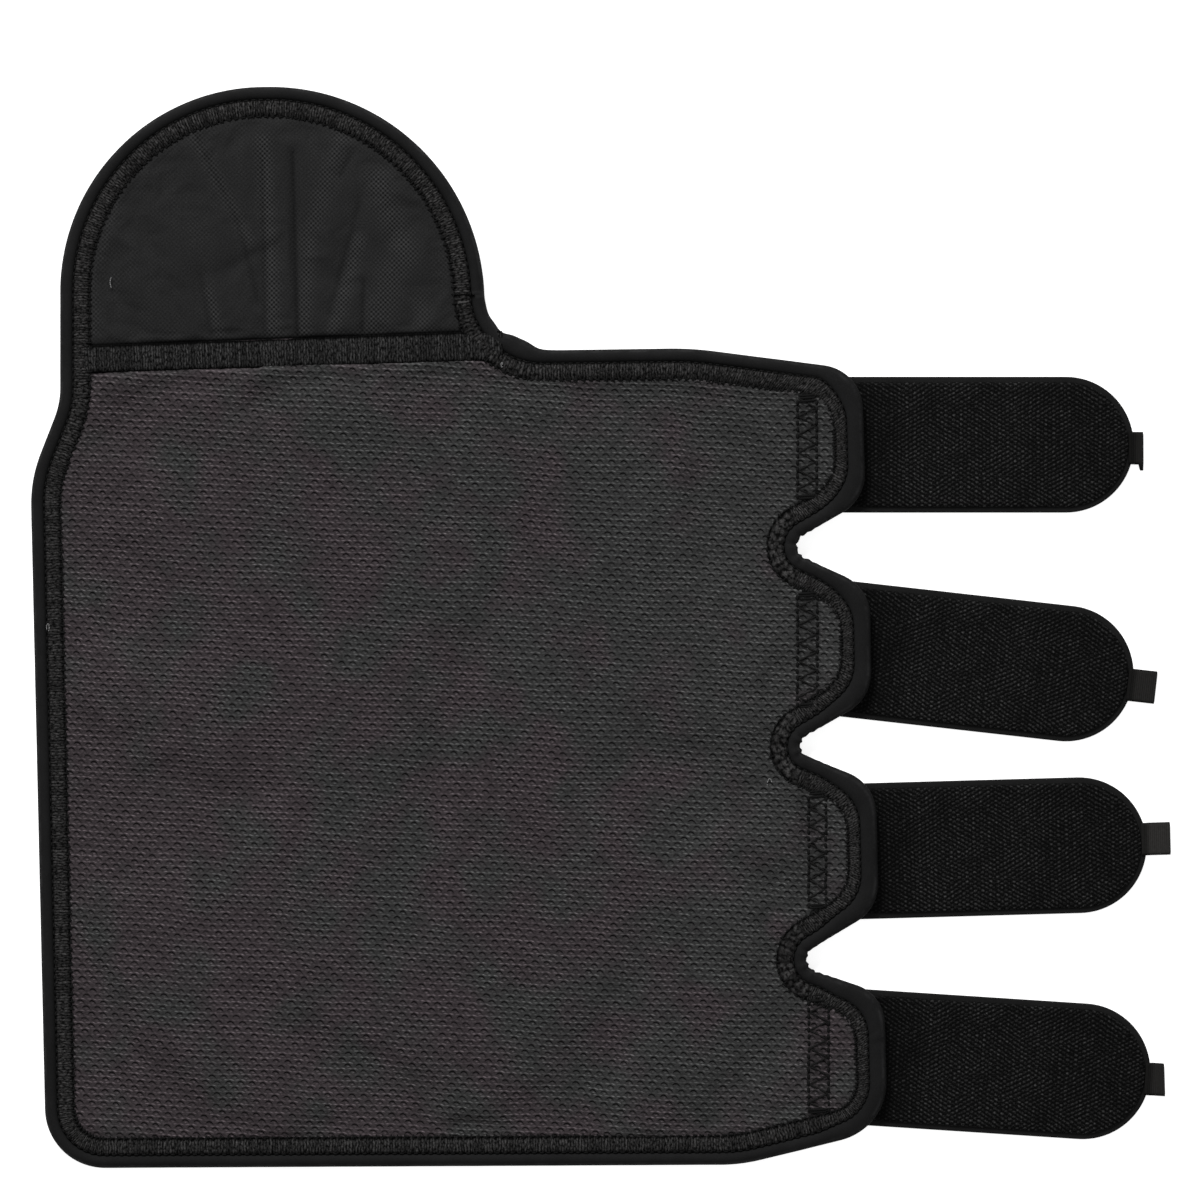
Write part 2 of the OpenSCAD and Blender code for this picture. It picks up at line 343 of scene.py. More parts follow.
def cut(me, name, planes):
    """A copy of me without what lies on the positive side of each plane, closed where it was cut."""
    bm = bmesh.new()
    bm.from_mesh(me)
    for co, no in planes:
        done = bmesh.ops.bisect_plane(bm, geom=bm.verts[:] + bm.edges[:] + bm.faces[:], dist=1e-7,
                                      plane_co=Vector(co) * MM, plane_no=Vector(no), clear_outer=True)
        edges = [e for e in done["geom_cut"] if isinstance(e, bmesh.types.BMEdge) and e.is_boundary]
        for e in edges:
            e.smooth = False
        for f in bmesh.ops.holes_fill(bm, edges=edges, sides=0)["faces"]:
            f.smooth = False
    out = bpy.data.meshes.new(name)
    bm.to_mesh(out)
    bm.free()
    return out


def add(name, me, mat, slot, *nodes):
    ob = bpy.data.objects.new(name, me)
    scene.collection.objects.link(ob)
    me.materials.clear()
    me.materials.append(mat)
    if nodes:
        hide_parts(*nodes)
    return ob


# -------- pieces, each crossing one hinge

CUTS = [L + 89.5, L + 151.5, L + 205.5, L + 248.5]
PANEL = {k: (f"section_{k}", f"section_{k + 1}", L + x0, L + x1) for k, x0, x1 in (
    (1, 33.5, 86.5), (2, 92.5, 145.5), (3, 170.5, 202.5), (4, 208.5, 245.5), (5, 251.5, 288.5))}
DOME = {1: ("dome_left", "dome_mid", L + 33.5, L + 86.5), 2: ("dome_mid", "dome_right", L + 92.5, L + 145.5)}
BESIDE_DOME = {k: PANEL[k] for k in (1, 2, 3)}
ABOVE = ((SEAM[0], SEAM[1], 0), (UP[0], UP[1], 0))
BELOW = ((SEAM[0], SEAM[1], 0), (-UP[0], -UP[1], 0))


def left_of(x):
    """A plane that cuts away what lies left of x."""
    return (x, 0, 0), (-1, 0, 0)


def right_of(x):
    """A plane that cuts away what lies right of x."""
    return (x, 0, 0), (1, 0, 0)


def bend(ob, hinge):
    a, b, x0, x1 = hinge
    x0 * MM
    x1 * MM
    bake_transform(ob)


def lengths(me, name, mat, slot, hinges, nodes=None, off=(), cuts=CUTS):
    """Splits a layer at the middle of each section: each length crosses one hinge. off is cut away."""
    for k, hinge in hinges.items():
        planes = list(off)
        if k > 1:
            planes.append(left_of(cuts[k - 2]))
        if k <= len(cuts):
            planes.append(right_of(cuts[k - 1]))
        piece = cut(me, f"{name}_{k}", planes)
        bend(add(f"{name}_{k}", piece, mat, slot, *(nodes or {}).get(k, ())), hinge)


def panel_pieces(me, name, mat, slot, nodes=None, hinges=PANEL, off=()):
    lengths(me, name, mat, slot, hinges, nodes, (ABOVE, *off))


def dome_pieces(me, name, mat, slot, nodes=None):
    lengths(me, name, mat, slot, DOME, nodes, (BELOW,), CUTS[:1])


def by_dome(stem):
    return {1: (f"{stem}_1", f"{stem}_2"), 2: (f"{stem}_3",)}


def by_section(stem):
    return {**by_dome(stem), 3: (f"{stem}_4",), 4: (f"{stem}_5",), 5: (f"{stem}_6",)}


# -------- materials

class Value:
    """A number in a material. Sums with it make math nodes."""

    def __init__(self, mat, socket):
        self.mat, self.socket = mat, socket

    def __add__(self, other):
        return self.mat.calc("ADD", self, other)

    def __sub__(self, other):
        return self.mat.calc("SUBTRACT", self, other)

    def __rsub__(self, other):
        return self.mat.calc("SUBTRACT", other, self)

    def __mul__(self, other):
        return self.mat.calc("MULTIPLY", self, other)

    def __truediv__(self, other):
        return self.mat.calc("DIVIDE", self, other)

    def __abs__(self):
        return self.mat.calc("ABSOLUTE", self)

    __radd__, __rmul__ = __add__, __mul__

    def fit(self, a, b, c, d):
        """Carries the range a to b over to the range c to d, and holds it there."""
        return self.mat.node("ShaderNodeMapRange", self, a, b, c, d)


class Mat:
    """Short calls for building a node material."""

    def __init__(self, name, rough, spec):
        self.mat = bpy.data.materials.new(name)
        self.mat.use_nodes = True
        self.tree = self.mat.node_tree
        self.tree.nodes.clear()
        self.out = self.tree.nodes.new("ShaderNodeOutputMaterial")
        self.body = self.tree.nodes.new("ShaderNodeBsdfPrincipled")
        self.tree.links.new(self.body.outputs[0], self.out.inputs[0])
        self.body.inputs["Roughness"].default_value = rough
        self.body.inputs["Specular IOR Level"].default_value = spec

    def put(self, sock, v):
        if isinstance(v, Value):
            self.tree.links.new(v.socket, sock)
        else:
            sock.default_value = v

    def node(self, kind, *inputs, op=None, out=0, **named):
        n = self.tree.nodes.new(kind)
        if op:
            n.operation = op
        for key, v in [*enumerate(inputs), *named.items()]:
            self.put(n.inputs[key], v)
        return Value(self, n.outputs[out])

    def calc(self, op, *numbers):
        return self.node("ShaderNodeMath", *numbers, op=op)

    def exp(self, v):
        return self.calc("EXPONENT", v)

    def bell(self, v):
        return self.exp(v * v * -1.0)

    def sine(self, v):
        return self.calc("SINE", v)

    def larger(self, a, b):
        return self.calc("MAXIMUM", a, b)

    def floor(self, v):
        return self.calc("FLOOR", v)

    def fraction(self, v):
        return self.calc("FRACT", v)

    def odd(self, v):
        return self.calc("MODULO", abs(v), 2.0)

    def attr(self, name, out="Fac"):
        n = self.tree.nodes.new("ShaderNodeAttribute")
        n.attribute_name = name
        return Value(self, n.outputs[out])

    def xyz(self, name="rest"):
        """The three numbers of a point attribute."""
        n = self.tree.nodes.new("ShaderNodeSeparateXYZ")
        self.put(n.inputs[0], self.attr(name, "Vector"))
        return [Value(self, n.outputs[i]) for i in range(3)]

    def vec(self, x, y, z=0.0):
        return self.node("ShaderNodeCombineXYZ", x, y, z)

    def noise(self, vec, size, detail=2.0, rough=0.5):
        return self.node("ShaderNodeTexNoise", out="Fac", Vector=vec, Scale=1 / size,
                         Detail=detail, Roughness=rough)

    def cells(self, vec, size):
        return self.node("ShaderNodeTexVoronoi", out="Distance", Vector=vec, Scale=1 / size)

    def white(self, vec):
        """A random number for each cell."""
        return self.node("ShaderNodeTexWhiteNoise", out="Value", Vector=vec)

    def mix(self, share, a, b):
        n = self.tree.nodes.new("ShaderNodeMix")
        n.data_type = "RGBA"
        self.put(n.inputs[0], share)
        self.put(n.inputs[6], (*a, 1))
        self.put(n.inputs[7], (*b, 1))
        return Value(self, n.outputs[2])

    def above_seam(self, x, y):
        """Distance above the seam between the panel and the dome."""
        return x * float(UP[0]) + y * float(UP[1]) - float(SEAM @ UP)

    def done(self, colour, shade, height, depth, strength):
        """Sets the colour times its shade, and the bump, and gives the material."""
        tone = self.node("ShaderNodeVectorMath", colour, op="SCALE", Scale=shade)
        self.put(self.body.inputs["Base Color"], tone)
        bump = self.node("ShaderNodeBump", Height=height, Distance=depth * MM, Strength=strength)
        self.put(self.body.inputs["Normal"], bump)
        return self.mat


def lining_material(cell=4.30, rise=2.19, turn=math.radians(-3.3)):
    """Embossed lining: rows of small dark arches of painted shade, each row a half step on, with embossed
    threads between them that carry painted highlights.
    A cell is this wide, the rows rise by this much, and the pattern is turned."""
    k = Mat("embossed_lining", 0.9, 0.02)
    x, y, _ = k.xyz()
    across = x * math.cos(turn) + y * math.sin(turn) + (k.noise(k.vec(x, y, 9.0), 27) - 0.5) * 2.2
    up = y * math.cos(turn) - x * math.sin(turn) + (k.noise(k.vec(x, y), 34) - 0.5) * 2.6
    v = up / rise
    row = k.floor(v)
    u = across / cell + k.odd(row) * 0.5
    col = k.floor(u)
    chance = k.white(k.vec(row, col, 3.0))
    a = (k.fraction(u) - 0.5) * 2.0 + chance.fit(0, 1, -0.08, 0.08)
    b = v - row

    def blob(at_a, at_b, wide, high, slope=0.0):
        """A soft bump of the cell, used as height and as painted highlight."""
        da = a - at_a
        db = (b - at_b + da * slope) / high
        da = da / wide
        return k.exp((da * da + db * db) * -1.0)

    # painted shade: dark arches under the threads, also grooves in the bump
    shaded_arch = k.bell((b - (0.56 - a * a * 0.95)) / 0.12)
    shaded_arch = shaded_arch * (a.fit(-0.64, -0.40, 0.0, 1.0) * a.fit(0.45, 0.85, 1.0, 0.0)) * chance.fit(0, 1, 1.2, 0.7)
    # painted highlights: pale spots on the threads, also lifted in the bump
    raised_highlight = blob(-0.54, 0.80, 0.33, 0.115) * 0.8 + blob(0.12, 0.14, 0.17, 0.10) * 0.7
    raised_highlight = (raised_highlight + blob(0.50, 0.79, 0.34, 0.115, 0.27)) * k.white(k.vec(col, row)).fit(0, 1, 0.35, 1.75)
    grain = k.noise(k.vec(x * 0.5, y * 1.3), 0.5, 2.0, 0.7)
    tint = k.noise(k.vec(x, y, 4.0), 26, 2.0, 0.55) + (x * -0.0008 + y * -0.0003)
    base = k.mix(tint.fit(0.40, 0.60, 1.0, 0.0), (0.0268, 0.0224, 0.0241), (0.0232, 0.0234, 0.0233))
    fine = k.noise(k.vec(x, y, 14.0), 9, 3.0, 0.6).fit(0.3, 0.7, 0.92, 1.08)
    # painted shade: the lining darkens towards its upper edge, by a tenth at most
    fine = fine * y.fit(HIGH - 90, HIGH - 5, 1.0, 0.90)
    shade = 0.89 + (raised_highlight * 1.95 - shaded_arch * 0.88)
    shade = k.larger(shade, 0.06) * (fine * grain.fit(0.3, 0.7, 0.5, 1.5))
    # painted shade darkens the lining round the zigzag bars, where the stitching presses it down
    upper = k.calc("GREATER_THAN", y, B + 117)
    middle = upper.fit(0, 1, BARS[3][0] + 3.6, BARS[0][0] + 3.6)
    shade = shade * abs(x - middle).fit(2.8, 4.8, 0.80, 1.0)
    # and a painted highlight runs along the lining's fold just below the tape
    fold_highlight = k.noise(k.vec(x, 3.0), 30, 2.0).fit(0.4, 0.65, 0.0, 0.8)
    shade = shade + k.bell((k.above_seam(x, y) + 10.8) / 0.45) * fold_highlight
    return k.done(base, shade, raised_highlight - shaded_arch + grain * 0.5, 0.2, 0.8)


def weave_material(name, colour, creased=False, pitch=1.2):
    """Plain weave, seen on the bias, with painted light in patches, where the thread pattern shows
    strongest.
    """
    k = Mat(name, 0.85, 0.03)
    x, y, _ = k.xyz()
    p = k.vec(x, y)
    f = math.tau / pitch / math.sqrt(2)
    weave = (k.sine((x + y) * f) + k.sine((x - y) * f)) * 0.5
    # painted light: patches where the cloth is brighter and its weave shows more
    patch = k.noise(k.vec(x * 2.2, y * 0.7), 16, 3.0, 0.6).fit(0.45, 0.65, 0.0, 0.6)
    if creased:
        patch = k.larger(patch * 0.4, k.attr("lit"))
    grain = k.noise(p, 0.55, 2.0, 0.7)
    spots = k.noise(p, 2.2, 3.0, 0.7).fit(0.3, 0.7, 0.7, 1.3)
    shade = patch.fit(0, 1, 0.94, 1.36) + weave * (patch.fit(0, 1, 0.06, 1.25) * spots)
    shade = k.larger(shade, 0.1) * grain.fit(0.25, 0.75, 0.55, 1.45)
    # painted shade in the bottoms of the creases and in the seam's groove
    if creased:
        seam = k.bell((k.above_seam(x, y) - 0.35) / 0.6) * 0.85
        shade = shade * (1.0 - k.larger(k.attr("fold"), seam))
    return k.done(colour, shade, weave + grain, 0.08, 0.6)


def ribbed_material(name, colour, pitch, lines):
    """Close stitching across a band. lines are rows of painted shade along the stitching, in its groove and
    its needle holes: place, half width, solid share.
    """
    k = Mat(name, 0.85, 0.03)
    s, d, _ = k.xyz("st")
    x, y, _ = k.xyz()
    slant = k.noise(k.vec(x, y), 3.0) - 0.5
    u = (s + slant) / pitch
    n = k.floor(u)
    t = u - n - 0.5
    crown = 1.0 - t * t * 4.0
    strokes = k.noise(k.vec(s / 0.6, d / 1.4), 1.0, 1.0, 0.6)
    grain = k.noise(k.vec(x, y), 0.5, 2.0, 0.7)
    # painted highlight and shade: each rib is lighter at its crown and darker between ribs
    shade = 0.16 + crown * k.white(k.vec(n, 5.0)).fit(0, 1, 0.45, 1.2)
    shade = shade * strokes.fit(0.36, 0.64, 0.12, 1.95) * grain.fit(0.3, 0.7, 0.5, 1.5)
    wave = k.sine((s + slant * 0.6) * (math.tau / STITCH))
    # painted shade in the grooves and needle holes
    for place, half, solid in lines:
        shade = shade * (1.0 - k.bell((d - place) / half) * wave.fit(-0.5, 0.6, solid, 1.0))
    return k.done(colour, shade, crown * 0.5 + strokes, 0.2, 0.7)


def smooth_cloth(name, colour, rim=None):
    """Fine close cloth, almost smooth, with faint wear and lint, and, given rim, a painted highlight along
    its outer turn.
    """
    k = Mat(name, 0.75, 0.04)
    p = k.vec(*k.xyz())
    grain = k.noise(p, 0.45, 2.0, 0.6)
    worn = k.noise(p, 3.0, 4.0, 0.7).fit(0.55, 0.8, 0.0, 1.0)
    shade = grain.fit(0.3, 0.7, 0.8, 1.2) * k.noise(p, 14, 3.0, 0.6).fit(0.3, 0.7, 0.84, 1.16) + worn * 0.12
    if rim:
        _, d, _ = k.xyz("st")
        # painted highlight along the outer turn of the roll
        shade = shade + k.bell((d - rim) / 0.38) * k.noise(p, 5.0, 3.0, 0.7).fit(0.4, 0.65, 0.0, 1.1)
    return k.done(colour, shade, grain, 0.06, 0.5)


def hook_material(across=1.42, along=1.64):
    """Moulded hooks: columns of tiny tips with painted glints, every other column a half step on, over a
    black ground with painted shade between the rows.
    """
    k = Mat("hook_field", 0.6, 0.03)
    x, y, _ = k.xyz("st")
    u = (x + (k.noise(k.vec(x, y, 5.0), 7) - 0.5) * 0.8) / across
    col = k.floor(u)
    odd = k.odd(col)
    v = (y + (k.noise(k.vec(x, y), 18) - 0.5) * 2.2) / along + odd * 0.45
    row = k.floor(v)
    a = k.fraction(u) - 0.5 + k.white(k.vec(row, col, 2.0)).fit(0, 1, -0.10, 0.10)
    lean = k.noise(k.vec(x, y, 11.0), 13, 1.0).fit(0.38, 0.62, -0.35, 0.35)
    c = v - row - 0.5 + a * lean
    tip = k.exp((a * a * 8.0 + c * c * 24.0) * -1.0)
    # painted highlights: a glint on each hook tip
    tip_highlight = tip * k.white(k.vec(col, row)).fit(0, 1, 2.0, 7.2) * odd.fit(0, 1, 1.15, 0.8)
    # painted shade in the gaps between the rows of tips
    ground = (1.0 - k.bell((0.5 - abs(c)) / 0.16) * 0.9) * 0.7
    patch = k.noise(k.vec(x, y, 7.0), 16, 2.0, 0.6).fit(0.34, 0.62, 0.75, 1.15)
    grain = k.noise(k.vec(x * 0.8, y), 0.5, 1.0, 0.6).fit(0.35, 0.65, 0.1, 2.2)
    # the last factor is the tab's painted shadow, darkening the hooks next to the tab's edge
    shade = (ground + tip_highlight) * (patch * grain) * x.fit(2.0, 15.0, 0.42, 1.0)
    return k.done((0.0026, 0.0026, 0.0026), shade, tip, 0.25, 0.6)


def foam_material():
    """Closed-cell foam."""
    k = Mat("closed_cell_foam", 0.9, 0.05)
    p = k.vec(*k.xyz())
    cells = k.cells(p, 0.8)
    shade = cells.fit(0, 1, 0.8, 1.25) * k.noise(p, 12).fit(0.3, 0.7, 0.9, 1.1)
    return k.done((0.09, 0.09, 0.10), shade, cells, 0.2, 0.6)


def pile_material():
    """Brushed loops."""
    k = Mat("loop_pile", 0.95, 0.05)
    p = k.vec(*k.xyz())
    cells = k.cells(p, 1.1)
    brush = k.noise(p, 2.5, 4.0, 0.7)
    shade = cells.fit(0, 0.8, 1.5, 0.5) * brush.fit(0.3, 0.7, 0.7, 1.3)
    return k.done((0.016, 0.016, 0.017), shade, brush - cells, 0.5, 0.8)


def thread_material(name, colour):
    """Twisted thread."""
    k = Mat(name, 0.7, 0.06)
    x, y, z = k.xyz()
    twist = k.sine((x + y + z) * 14.0)
    return k.done(colour, twist.fit(-1, 1, 0.6, 1.3), twist, 0.05, 0.6)


def ribbon_material(name, grey):
    """Flat ribbon with fine cross ribs, with painted shade at its edges and where it leaves the strap."""
    k = Mat(name, 0.7, 0.05)
    x, y, _ = k.xyz("st")
    ribs = k.sine(x * (math.tau / 0.75))
    grain = k.noise(k.vec(x, y), 1.2, 3.0, 0.7)
    # painted shade at the ribbon's edges and where it comes out from the strap
    edge = abs(y).fit(5.0, 5.7, 1.0, 0.65) * x.fit(1.7, 3.2, 0.42, 1.0)
    shade = ribs.fit(-1, 1, 0.85, 1.12) * grain.fit(0.3, 0.7, 0.8, 1.2) * edge
    return k.done((grey * 1.03, grey * 0.99, grey * 0.94), shade, ribs + grain, 0.08, 0.7)


LINING = lining_material()
DOME_CLOTH = weave_material("dome_cloth", (0.0113, 0.0113, 0.0114), creased=True)
COVER = weave_material("outer_cover", (0.0100, 0.0100, 0.0107))
BINDING = smooth_cloth("rolled_binding", (0.0064, 0.0064, 0.0065), rim=0.95)
OVERLOCK = ribbed_material("overlock_band", (0.0157, 0.0153, 0.0152), 1.05,
                           [(4.95, 0.55, 0.97), (10.9, 0.6, 0.6)])
TAPE = ribbed_material("seam_tape_cloth", (0.0140, 0.0139, 0.0139), 1.0,
                       [(-0.3, 0.6, 0.95), (-9.8, 0.6, 0.9)])
HOOKS = hook_material()
WEBBING = smooth_cloth("strap_webbing", (0.0062, 0.0062, 0.0062))
FOAM = foam_material()
PILE = pile_material()
THREAD = thread_material("stitch_thread", (0.0035, 0.0035, 0.0035))
ZIGZAG = thread_material("zigzag_thread", (0.0062, 0.0061, 0.0060))
LINT = thread_material("pale_lint", (0.15, 0.15, 0.15))


# -------- the lining's top, with the dome's creases

main = Outline(OUTLINE)
main_tree = tree_of(main.ring(0))
DC = np.array([L + 87.5, HIGH + 20.2])   # the dome circle's middle
# folds of the dome's cloth: two ends measured from the dome's middle, depth, half width
CREASES = [((8.6, 52), (10.5, -16), 0.55, 1.4), ((-2.5, 50), (-1.5, -16), 0.30, 2.6),
           ((-27, 60), (-11, 26), 0.25, 2.5), ((-11, 26), (-4, -2), 0.25, 2.5),
           ((33, 34), (22, -6), 0.28, 3.0), ((34.6, 5), (34.0, -15), 0.40, 1.6),
           ((30, 52), (26, 44), 0.30, 2.0), ((-25, 8), (-21, -14), 0.20, 3.0)]
# bands of cloth that catch the light: ends, half width, strength
BANDS = [((-2, 56), (2, -14), 3.2, 1.0), ((-27, 58), (-7, 20), 2.6, 0.7), ((15, 20), (13, -14), 2.8, 0.9),
         ((27, 58), (14, 20), 4.5, 0.7), ((40, 42), (50, 14), 5.5, 0.9), ((46, 10), (38, -14), 6.5, 0.8),
         ((33, 20), (24, -12), 3.0, 0.9), ((-66, 8), (-64, -12), 3.0, 0.5), ((-22, 2), (-18, -14), 2.2, 0.8),
         ((-56, 34), (-62, 12), 2.6, 0.4), ((55, -2), (57, -12), 4.0, 0.6)]


def to_line(x, y, a, b):
    """Distance to a stretch of line, signed by side."""
    a, b = DC + np.array(a), DC + np.array(b)
    d = b - a
    n = np.linalg.norm(d)
    d = d / n
    t = np.clip((x - a[0]) * d[0] + (y - a[1]) * d[1], 0, n)
    px, py = x - a[0] - t * d[0], y - a[1] - t * d[1]
    side = np.sign(px * d[1] - py * d[0])
    return np.hypot(px, py) * np.where(side == 0, 1, side)


def lining_top(x, y):
    """Height of the lining: crowned inside its edge, low at the seam and under the tape, and creased."""
    d = distance(main_tree, x, y)
    v = above_seam(x, y)
    z = 6.75 + 0.75 * (1 - np.exp(-np.clip(d - EDGE + 0.6, 0, None) / 2.2))
    z = z + 0.35 * smooth(EDGE, 60, d) + 0.16 * ripple(x, y, 55, 3) * smooth(EDGE, EDGE + 14, d)
    z = np.where(v > 0, z - 0.85 * np.exp(-np.abs(v) / 1.3), z)
    z = np.where((v <= 0.01) & (v > TAPE_LOW), 6.5, z)
    z = np.where(v <= TAPE_LOW, z - 0.7 * np.exp(-np.abs(v - TAPE_LOW) / 1.4), z)
    c = 0.22 * ripple(x * 2.2, y * 0.8, 26, 11)
    for a, b, depth, w in CREASES:
        s = to_line(x, y, a, b)
        c = c - depth * (bell(s, w) - 0.5 * bell(s - 2.3 * w, 1.4 * w) - 0.3 * bell(s + 2.6 * w, 1.6 * w))
    return place_z(x, z + np.where(v > 0, c * smooth(EDGE, EDGE + 6, d), 0))


def lit(x, y):
    """How much the cloth catches the light."""
    return np.max([k * bell(to_line(x, y, a, b), w) for a, b, w, k in BANDS], 0)


def fold(x, y):
    """How dark the painted shade in the bottom of each crease is."""
    return np.max([min(0.7, depth) * bell(to_line(x, y, a, b), 0.25 * w + 0.3)
                   for a, b, depth, w in CREASES], 0)


def flat(z):
    return lambda x, y: place_z(x, np.full_like(x, z))


def lay(v, st):
    v = v.copy()
    v[..., 2] = place_z(v[..., 0], v[..., 2])
    return v


top_profile = [(EDGE - 0.8, 6.75), (9.6, 6.55), (9.3, 6.0), (9.3, 4.5), (9.7, LINING_LOW)]
v, f, st = slab(main, top_profile, 2.4, lining_top, flat(LINING_LOW), lay, coarse=8,
                fine=(1.15, lambda q: above_seam(*q.T) > 0.4))
lining = weld(make_mesh("lining", v, f, st=st, lit=lit(v[:, 0], v[:, 1]), fold=fold(v[:, 0], v[:, 1])))


def points(me):
    co = np.zeros(len(me.vertices) * 3)
    me.vertices.foreach_get("co", co)
    return co.reshape(-1, 3)


def puff(me, cap=0.0012):
    """Lets a lining swell a little between its stitched edges, as padded cloth does, by cap at most."""
    ob = bpy.data.objects.new("puff", me.copy())
    scene.collection.objects.link(ob)
    co = points(me)
    x, y, z = co.T * 1000
    v = above_seam(x, y)
    under = z < 6.0
    held = (distance(main_tree, x, y) < EDGE + 1.2) | ((v < 1.2) & (v > TAPE_LOW - 1.5)) | under
    ob.vertex_groups.new(name="held").add([int(i) for i in np.nonzero(held)[0]], 1.0, "REPLACE")
    cloth = ob.modifiers.new("cloth", "CLOTH")
    cloth.collision_settings.use_collision = False
    c = cloth.settings
    c.quality = 4
    c.mass = 0.2
    c.tension_stiffness = c.compression_stiffness = 25
    c.shear_stiffness = 15
    c.bending_stiffness = 2.0
    c.use_pressure = True
    c.uniform_pressure_force = 1.5
    c.shrink_min = -0.012
    c.effector_weights.gravity = 0
    c.vertex_group_mass = "held"
    for frame_no in range(1, 21):
        scene.frame_set(frame_no)
    move = points(ob.evaluated_get(bpy.context.evaluated_depsgraph_get()).data) - co
    scene.frame_set(1)
    bpy.data.objects.remove(ob)
    move[under] = 0
    size = np.linalg.norm(move, axis=1)
    move *= np.where(size > 1e-9, cap * np.tanh(size / cap) / np.maximum(size, 1e-9), 0)[:, None]
    me.vertices.foreach_set("co", (co + move).ravel())
    me.update()


puff(lining)

surface = BVHTree.FromPolygons([tuple(p.co) for p in lining.vertices],
                               [tuple(p.vertices) for p in lining.polygons])


def on_top(x, y, extra):
    """A point this far above the lining."""
    hit = surface.ray_cast(Vector((x * MM, y * MM, 0.05)), Vector((0, 0, -1)))[0]
    return x, y, (hit.z * 1000 if hit else 7.2) + extra


panel_pieces(lining, "lining", LINING, "lining", by_section("sheet"))
dome_pieces(lining, "dome_cloth", DOME_CLOTH, "dome_lining", by_dome("dome_lining"))

# -------- pads and outer cover

v, f, st = slab(main, [(9.9, 3.9), (9.5, 3.5), (9.5, 1.5), (9.9, 1.1)], 7, flat(PAD_TOP), flat(PAD_LOW), lay)
pad = weld(make_mesh("pad", v, f, st=st))
panel_pieces(pad, "impact_foam", FOAM, "foam", {k: (f"foam_{k + 1}",) for k in (1, 2, 3, 4)},
             off=(left_of(L + 60.2), right_of(L + 269.8)))
dome_pieces(pad, "dome_foam", FOAM, "foam", by_dome("dome_pad"))


def cover_low(x, y):
    d = distance(main_tree, x, y)
    return place_z(x, 0.12 + 0.5 * np.exp(-np.clip(d - EDGE, 0, None) / 1.6) + 0.05 * ripple(x, y, 40, 5))


v, f, st = slab(main, [(10.3, COVER_TOP), (9.8, 0.9), (9.7, 0.7), (10.0, 0.6), (EDGE - 0.5, 0.6)], 6,
                flat(COVER_TOP), cover_low, lay, coarse=4)
cover = weld(make_mesh("cover", v, f, st=st))
panel_pieces(cover, "outer_cover", COVER, "cover", by_section("cover"))
dome_pieces(cover, "dome_outer_cover", COVER, "cover", by_dome("dome_cover"))

# -------- rounded core of the fold between panel and dome


def fold_core(side, cols=54):
    """A quarter round about the fold's axis, hidden in the foam until the dome is folded."""
    axis = joints["dome_fold"]["pos_m"][2] * 1000
    radius = axis - 0.15
    half_fold = math.radians(165) / 2
    arc = [(radius * math.sin(q), axis - radius * math.cos(q)) for q in np.linspace(0, half_fold, 14)]
    arc += [(radius - 0.5, 6.5), (1.0, 6.2), (0.0, 6.2)]
    verts, st = [], []
    for i in range(cols + 1):
        for v, z in arc:
            v *= side
            x0, x1 = DX0 + 0.8, DX1 + 6.6 - 0.55 * max(v, 0)
            x = x0 + (x1 - x0) * i / cols
            u = (x - SEAM[0] - UP[0] * v) / ALONG[0]
            p = SEAM + ALONG * u + UP * v
            verts.append((p[0], p[1], z))
            st.append((u, v, 0))
    faces = quads(cols + 1, len(arc)) + caps(cols + 1, len(arc))
    return weld(make_mesh("fold_core", verts, faces, st=st), CLOSE)


lengths(fold_core(1), "fold_core_panel", COVER, "cover", BESIDE_DOME)
lengths(fold_core(-1), "fold_core_dome", COVER, "cover", DOME, cuts=CUTS[:1])

# -------- bound edge

NOTCH = [np.array([R - 29.0, 75.4]), np.array([R - 27.5, 2.3]), np.array([R - 25.5, -76.3])]
NECK = np.array([DX1 + 10.5, HIGH + 8.5])
FULL = np.array([DX1 + 15.4, HIGH + 3.0])         # where the binding bulges at the neck
CREASE = np.array([R - 5.0, B + 48.0])            # a fold in the lowest tab's binding


def gather(v, st):
    """Puckers the binding where it is eased round the notches and the neck."""
    v = lay(v, st)
    p, s, d = v[..., :2], st[..., 0], st[..., 1]
    grow = np.clip(1 - d / 7.0, 0, 1)
    roll_top = np.clip(1 - np.abs(d - 2.5) / 5, 0, 1)
    for i, c in enumerate(NOTCH):
        wave = near(p, c, 9.0) * (np.sin(s * 2.1 + i * 1.7) + 0.5 * np.sin(s * 3.7 + i))
        v[..., 2] += 0.42 * wave * roll_top
        out = p - c
        out = out / np.maximum(np.linalg.norm(out, axis=-1, keepdims=True), 0.5)
        v[..., :2] -= out * (0.36 * wave * grow)[..., None]
    w = near(p, NECK, 11.0) * grow
    wave = np.sin(s * 0.75 + 0.6)
    v[..., 2] += 0.30 * w * wave
    v[..., :2] += np.array([0.7, 0.72]) * ((0.5 + 0.25 * wave) * w)[..., None]
    v[..., :2] += np.array([0.36, 0.93]) * (2.6 * near(p, FULL, 6.0) * grow)[..., None]
    w = near(p, CREASE, 3.2)
    v[..., :2] += np.array([0.9, 0.3]) * (0.7 * w * grow)[..., None]
    v[..., 2] += 0.5 * w * np.cos(s * 1.1) * roll_top
    v[..., 2] += 0.10 * np.sin(s * 0.31) * np.sin(s * 0.113 + 1) * grow
    return v


